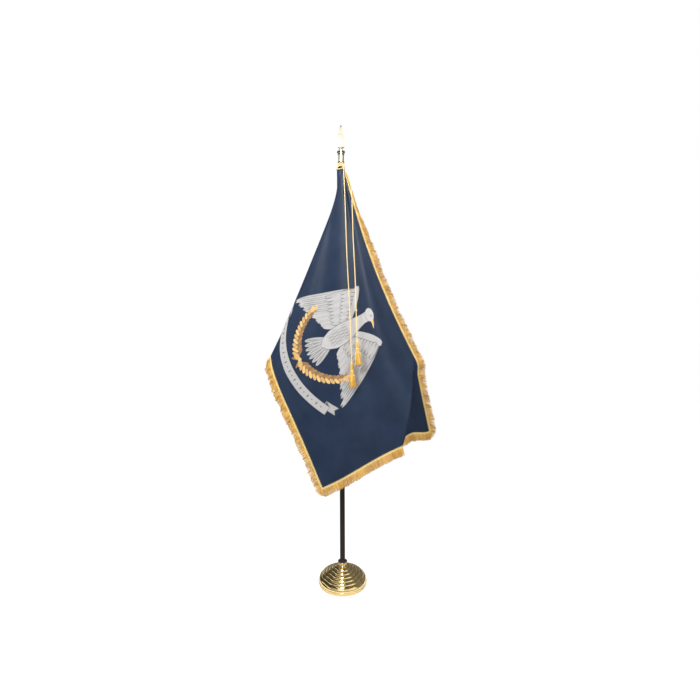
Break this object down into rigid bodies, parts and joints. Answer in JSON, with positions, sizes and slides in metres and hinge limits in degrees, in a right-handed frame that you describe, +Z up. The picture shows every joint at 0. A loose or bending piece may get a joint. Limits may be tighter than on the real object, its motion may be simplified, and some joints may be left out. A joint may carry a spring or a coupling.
{
  "type": "flag pole stand",
  "caption": "Indoor ceremonial flag set: fringed flag draped on a jointed wooden pole with a spear finial, cord and tassels, in a weighted round brass floor stand.",
  "frame": {"origin": "on the floor, at the centre of the stand's felt pad and on the pole's axis", "axes": "+Z up along the pole; -Y is the side the flag's front faces; the flag's top edge falls towards +X"},
  "size_m": [0.9418, 0.5012, 2.614],
  "materials": {
    "felt": "matte",
    "steel": "satin",
    "cast_iron": "matte",
    "polished_brass": "polished",
    "black_plastic": "satin",
    "stained_wood": "satin",
    "fibre": "matte",
    "gold_cap": "satin",
    "gold_finial": "polished",
    "navy_cloth": "satin",
    "gold_fringe": "satin",
    "gold_cord": "satin",
    "tan_leather": "satin"
  },
  "bodies": {
    "base": {"floor_pad": "felt", "bottom_plate": "steel", "ballast": "cast_iron", "base_shell": "polished_brass", "socket_tube": "steel", "neck_collar": "polished_brass"},
    "bush": {"adapter_bush": "black_plastic"},
    "lower_pole": {"lower_staff": "stained_wood", "joint_socket": "gold_cap", "socket_nails": "gold_cap"},
    "washer": {"joint_washer": "fibre"},
    "upper_pole": {"joint_plug": "gold_cap", "plug_nails": "gold_cap", "upper_staff": "stained_wood", "top_ferrule": "gold_finial", "ferrule_nails": "gold_cap", "flag_sleeve": "navy_cloth", "flag_cloth": "navy_cloth", "fringe_top": "gold_fringe", "fringe_fly": "gold_fringe", "fringe_bottom": "gold_fringe", "tab_upper": "tan_leather", "tab_lower": "tan_leather", "tab_screws": "gold_cap", "cord_loop": "gold_cord"},
    "collar": {"finial_collar": "gold_finial"},
    "finial": {"finial_spear": "gold_finial"},
    "cord_left": {"strand_left": "gold_cord"},
    "cord_right": {"strand_right": "gold_cord", "strand_knot": "gold_cord"},
    "tassel_left": {"tassel_cap_left": "gold_cord", "tassel_head_left": "gold_fringe", "tassel_band_left": "gold_cord", "tassel_skirt_left": "gold_fringe"},
    "tassel_right": {"tassel_cap_right": "gold_cord", "tassel_head_right": "gold_fringe", "tassel_band_right": "gold_cord", "tassel_skirt_right": "gold_fringe"}
  },
  "joints": [
    {"name": "pole_lift", "type": "slide", "parent": "base", "child": "bush", "axis": [0, 0, 1], "range_m": [0, 0.12]},
    {"name": "pole_turn", "type": "hinge", "parent": "bush", "child": "lower_pole", "pos_m": [0, 0, 0.06], "axis": [0, 0, 1], "continuous": true},
    {"name": "pole_joint_advance", "type": "slide", "parent": "lower_pole", "child": "washer", "axis": [0, 0, 1], "range_m": [0, 0.0255]},
    {"name": "pole_joint_unscrew", "type": "hinge", "parent": "washer", "child": "upper_pole", "pos_m": [0, 0, 1.231], "axis": [0, 0, 1], "range_deg": [0, 3600]},
    {"name": "finial_advance", "type": "slide", "parent": "upper_pole", "child": "collar", "axis": [0, 0, 1], "range_m": [0, 0.012]},
    {"name": "finial_unscrew", "type": "hinge", "parent": "collar", "child": "finial", "pos_m": [0, 0, 2.462], "axis": [0, 0, 1], "range_deg": [0, 2880]},
    {"name": "cord_left_swing", "type": "hinge", "parent": "upper_pole", "child": "cord_left", "pos_m": [0.014, -0.035, 2.356], "axis": [-1, 0, 0], "range_deg": [0, 25]},
    {"name": "cord_right_swing", "type": "hinge", "parent": "upper_pole", "child": "cord_right", "pos_m": [0.058, -0.066, 2.236], "axis": [-1, 0, 0], "range_deg": [0, 25]},
    {"name": "tassel_left_swing", "type": "hinge", "parent": "cord_left", "child": "tassel_left", "pos_m": [0.052, -0.222, 1.283], "axis": [0, -1, 0], "range_deg": [-15, 5]},
    {"name": "tassel_right_swing", "type": "hinge", "parent": "cord_right", "child": "tassel_right", "pos_m": [0.081, -0.224, 1.398], "axis": [0, -1, 0], "range_deg": [0, 15]}
  ],
  "couplings": [
    {"joint": "pole_joint_advance", "follows": "pole_joint_unscrew", "m_per_rad": 0.00040425},
    {"joint": "finial_unscrew", "follows": "finial_advance", "rad_per_m": 4188.8}
  ]
}
